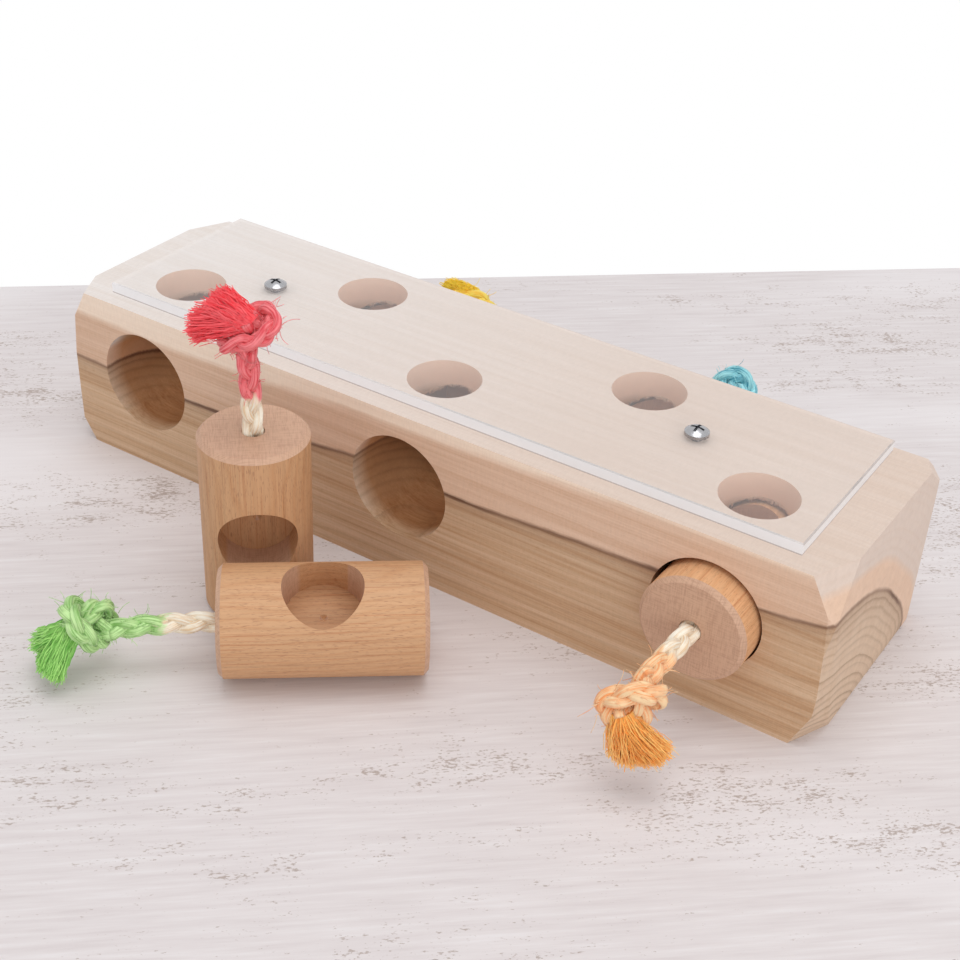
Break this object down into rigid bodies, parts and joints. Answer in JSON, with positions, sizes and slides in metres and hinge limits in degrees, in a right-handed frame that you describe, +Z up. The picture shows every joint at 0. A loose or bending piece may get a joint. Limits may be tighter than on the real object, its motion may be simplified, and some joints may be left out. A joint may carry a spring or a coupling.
{
  "type": "parrot foraging toy",
  "caption": "Drilled wooden foraging block with a clear screwed-down cover over its windows, and round cup plugs that a bird pulls out by short knotted ropes.",
  "frame": {"origin": "centre of the block's underside", "axes": "+X along the block to the right, -Y out of the side with three bores (the front), +Z up"},
  "size_m": [0.3, 0.2637, 0.1128],
  "materials": {
    "two_tone_hardwood": "bare sanded wood, pale sapwood over darker heartwood",
    "beech": "turned and sanded, bare",
    "clear_acrylic": "clear polished sheet with bright cut edges",
    "zinc_steel": "bright zinc",
    "natural_sisal": "undyed twisted fibre",
    "red_sisal": "dyed twisted fibre",
    "green_sisal": "dyed twisted fibre",
    "orange_sisal": "dyed twisted fibre",
    "yellow_sisal": "dyed twisted fibre",
    "turquoise_sisal": "dyed twisted fibre"
  },
  "bodies": {
    "block_unit": {"block": "two_tone_hardwood", "cover_plate": "clear_acrylic", "screw_left": "zinc_steel", "screw_right": "zinc_steel"},
    "red_pull": {"plug_red": "beech", "rope_red": "natural_sisal", "knot_red": "red_sisal", "tuft_red": "red_sisal"},
    "green_pull": {"plug_green": "beech", "rope_green": "natural_sisal", "knot_green": "green_sisal", "tuft_green": "green_sisal"},
    "orange_pull": {"plug_orange": "beech", "rope_orange": "natural_sisal", "knot_orange": "orange_sisal", "tuft_orange": "orange_sisal"},
    "yellow_pull": {"plug_yellow": "beech", "rope_yellow": "natural_sisal", "knot_yellow": "yellow_sisal", "tuft_yellow": "yellow_sisal"},
    "turquoise_pull": {"plug_turquoise": "beech", "rope_turquoise": "natural_sisal", "knot_turquoise": "turquoise_sisal", "tuft_turquoise": "turquoise_sisal"}
  },
  "joints": [
    {"name": "orange_slide", "type": "slide", "parent": "block_unit", "child": "orange_pull", "axis": [0, -1, 0], "range_m": [0, 0.06]},
    {"name": "yellow_slide", "type": "slide", "parent": "block_unit", "child": "yellow_pull", "axis": [0, 1, 0], "range_m": [0, 0.06]},
    {"name": "turquoise_slide", "type": "slide", "parent": "block_unit", "child": "turquoise_pull", "axis": [0, 1, 0], "range_m": [0, 0.06]},
    {"name": "red_lift", "type": "slide", "parent": "block_unit", "child": "red_pull", "axis": [0, 0, 1], "range_m": [0, 0.06]},
    {"name": "green_lift", "type": "slide", "parent": "block_unit", "child": "green_pull", "axis": [0, 0, 1], "range_m": [0, 0.06]}
  ]
}
